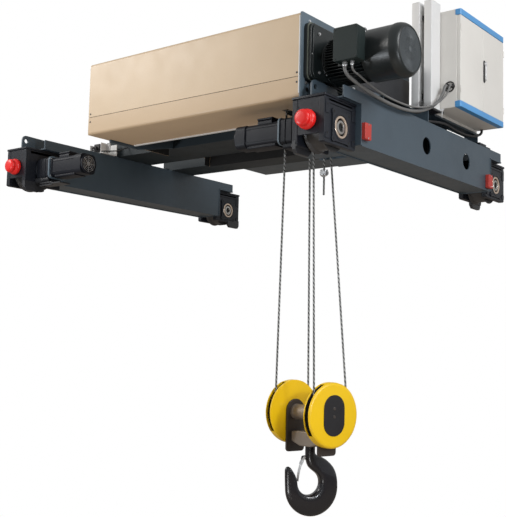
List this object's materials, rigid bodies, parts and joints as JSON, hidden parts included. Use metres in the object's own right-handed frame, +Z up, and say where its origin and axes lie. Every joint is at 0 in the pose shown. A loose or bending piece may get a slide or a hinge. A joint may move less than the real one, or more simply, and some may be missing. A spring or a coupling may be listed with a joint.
{
  "type": "electric wire rope hoist",
  "caption": "Double-rail trolley with an electric wire rope hoist: motor, gearbox, covered rope drum, sheaved hook block, end beams on flanged wheels, travel drives and control cabinet.",
  "frame": {"origin": "midway between the four wheels, at the height of the rail tops that the wheels run on", "axes": "+X along the rope drum towards the hoist motor, +Y along the rails towards the cabinet end, +Z up"},
  "size_m": [2.75, 2.2476, 2.848],
  "materials": {
    "bluegrey_paint": "satin",
    "cast_grey_paint": "satin",
    "champagne_paint": "satin",
    "motor_paint": "satin",
    "light_grey_paint": "satin",
    "white_paint": "satin",
    "red_rubber": "matte",
    "yellow_paint": "gloss",
    "black_forging": "satin",
    "bare_steel": "machined",
    "rope_steel": "stranded",
    "grey_cable": "matte",
    "black_cable": "matte",
    "alloy_box": "satin"
  },
  "bodies": {
    "trolley": {"end_beam_left": "bluegrey_paint", "end_beam_right": "bluegrey_paint", "cross_girder_front": "bluegrey_paint", "cross_girder_rear": "bluegrey_paint", "anchor_bracket": "bluegrey_paint", "wheel_block_front_left": "cast_grey_paint", "wheel_block_rear_left": "cast_grey_paint", "wheel_block_front_right": "cast_grey_paint", "wheel_block_rear_right": "cast_grey_paint", "buffer_front_left": "red_rubber", "buffer_rear_left": "red_rubber", "buffer_front_right": "red_rubber", "buffer_rear_right": "red_rubber", "stop_block_front": "red_rubber", "stop_block_rear": "red_rubber", "travel_gear_left": "cast_grey_paint", "travel_gear_right": "cast_grey_paint", "travel_motor_left": "alloy_box", "travel_motor_right": "alloy_box", "cover_hood": "champagne_paint", "cover_skirt": "champagne_paint", "drive_end_plate": "bluegrey_paint", "drum_bearing_plate": "bluegrey_paint", "gearbox_case": "motor_paint", "motor_body": "motor_paint", "motor_cowl": "motor_paint", "terminal_box": "alloy_box", "return_sheave_fork": "cast_grey_paint", "rope_anchor": "cast_grey_paint", "rope_fall_1": "rope_steel", "rope_fall_2": "rope_steel", "rope_fall_3": "rope_steel", "rope_fall_4": "rope_steel", "post_1": "white_paint", "post_2": "white_paint", "equipment_tray": "bluegrey_paint", "cabinet_body": "light_grey_paint", "power_lead": "grey_cable", "brake_lead": "grey_cable", "control_lead": "black_cable"},
    "wheel_front_left": {"wheel_front_left": "bare_steel"},
    "wheel_rear_left": {"wheel_rear_left": "bare_steel"},
    "wheel_front_right": {"wheel_front_right": "bare_steel"},
    "wheel_rear_right": {"wheel_rear_right": "bare_steel"},
    "travel_fan_left": {"travel_fan_left": "black_cable"},
    "travel_fan_right": {"travel_fan_right": "black_cable"},
    "drum": {"rope_drum": "bare_steel", "rope_coil": "rope_steel"},
    "return_sheave": {"return_sheave": "bare_steel"},
    "hook_block": {"block_frame": "black_forging", "block_cover_left": "yellow_paint", "block_cover_right": "yellow_paint"},
    "block_sheave_left": {"block_sheave_left": "black_forging"},
    "block_sheave_right": {"block_sheave_right": "black_forging"},
    "crosshead": {"hook_crosshead": "black_forging"},
    "hook": {"hook": "black_forging"},
    "latch": {"hook_latch": "bare_steel"},
    "cabinet_door_left": {"cabinet_door_left": "light_grey_paint"},
    "cabinet_door_right": {"cabinet_door_right": "light_grey_paint"},
    "door_handle": {"door_handle": "black_cable"}
  },
  "joints": [
    {"name": "wheel_front_left_spin", "type": "hinge", "parent": "trolley", "child": "wheel_front_left", "pos_m": [-1.12, -0.92, 0.1], "axis": [1, 0, 0], "continuous": true},
    {"name": "wheel_rear_left_spin", "type": "hinge", "parent": "trolley", "child": "wheel_rear_left", "pos_m": [-1.12, 0.92, 0.1], "axis": [1, 0, 0], "continuous": true},
    {"name": "wheel_front_right_spin", "type": "hinge", "parent": "trolley", "child": "wheel_front_right", "pos_m": [1.12, -0.92, 0.1], "axis": [1, 0, 0], "continuous": true},
    {"name": "wheel_rear_right_spin", "type": "hinge", "parent": "trolley", "child": "wheel_rear_right", "pos_m": [1.12, 0.92, 0.1], "axis": [1, 0, 0], "continuous": true},
    {"name": "travel_fan_left_spin", "type": "hinge", "parent": "trolley", "child": "travel_fan_left", "pos_m": [-0.615, -0.92, 0.112], "axis": [1, 0, 0], "continuous": true},
    {"name": "travel_fan_right_spin", "type": "hinge", "parent": "trolley", "child": "travel_fan_right", "pos_m": [0.615, -0.92, 0.112], "axis": [1, 0, 0], "continuous": true},
    {"name": "drum_spin", "type": "hinge", "parent": "trolley", "child": "drum", "pos_m": [0.2, -0.69, 0.46], "axis": [-1, 0, 0], "range_deg": [0, 1569]},
    {"name": "hook_lift", "type": "slide", "parent": "trolley", "child": "hook_block", "axis": [0, 0, 1], "range_m": [0, 1], "deforming": ["rope_fall_1", "rope_fall_2", "rope_fall_3", "rope_fall_4"]},
    {"name": "return_sheave_spin", "type": "hinge", "parent": "trolley", "child": "return_sheave", "pos_m": [0.897, -0.704, 0.185], "axis": [-0.7804, -0.6252, 0], "range_deg": [0, 917]},
    {"name": "block_sheave_left_spin", "type": "hinge", "parent": "hook_block", "child": "block_sheave_left", "pos_m": [0.77646, -0.66371, -1.298], "axis": [-0.9703, 0.2419, 0], "range_deg": [0, 1528]},
    {"name": "block_sheave_right_spin", "type": "hinge", "parent": "hook_block", "child": "block_sheave_right", "pos_m": [1.06754, -0.73629, -1.298], "axis": [-0.9703, 0.2419, 0], "range_deg": [0, 510]},
    {"name": "crosshead_tilt", "type": "hinge", "parent": "hook_block", "child": "crosshead", "pos_m": [0.922, -0.7, -1.426], "axis": [0.9703, -0.2419, 0], "range_deg": [-15, 15]},
    {"name": "hook_swivel", "type": "hinge", "parent": "crosshead", "child": "hook", "pos_m": [0.922, -0.7, -1.426], "axis": [0, 0, 1], "continuous": true},
    {"name": "latch_swing", "type": "hinge", "parent": "hook", "child": "latch", "pos_m": [0.90292, -0.73053, -1.52], "axis": [0.848, -0.5299, 0], "range_deg": [0, 30], "stiffness_Nm_per_rad": 0.6, "springref_deg": -20.05},
    {"name": "door_left_swing", "type": "hinge", "parent": "trolley", "child": "cabinet_door_left", "pos_m": [1.359, 0.101, 0.703], "axis": [0, 0, -1], "range_deg": [0, 110]},
    {"name": "door_right_swing", "type": "hinge", "parent": "trolley", "child": "cabinet_door_right", "pos_m": [1.359, 0.707, 0.703], "axis": [0, 0, 1], "range_deg": [0, 110]},
    {"name": "door_handle_turn", "type": "hinge", "parent": "cabinet_door_right", "child": "door_handle", "pos_m": [1.365, 0.422, 0.745], "axis": [1, 0, 0], "range_deg": [0, 90]}
  ],
  "couplings": [
    {"joint": "travel_fan_left_spin", "follows": "wheel_front_left_spin", "ratio": 24},
    {"joint": "travel_fan_right_spin", "follows": "wheel_front_right_spin", "ratio": 24},
    {"joint": "hook_lift", "follows": "drum_spin", "m_per_rad": 0.0365},
    {"joint": "return_sheave_spin", "follows": "drum_spin", "ratio": 0.584},
    {"joint": "block_sheave_left_spin", "follows": "drum_spin", "ratio": 0.97333},
    {"joint": "block_sheave_right_spin", "follows": "drum_spin", "ratio": 0.32444}
  ]
}
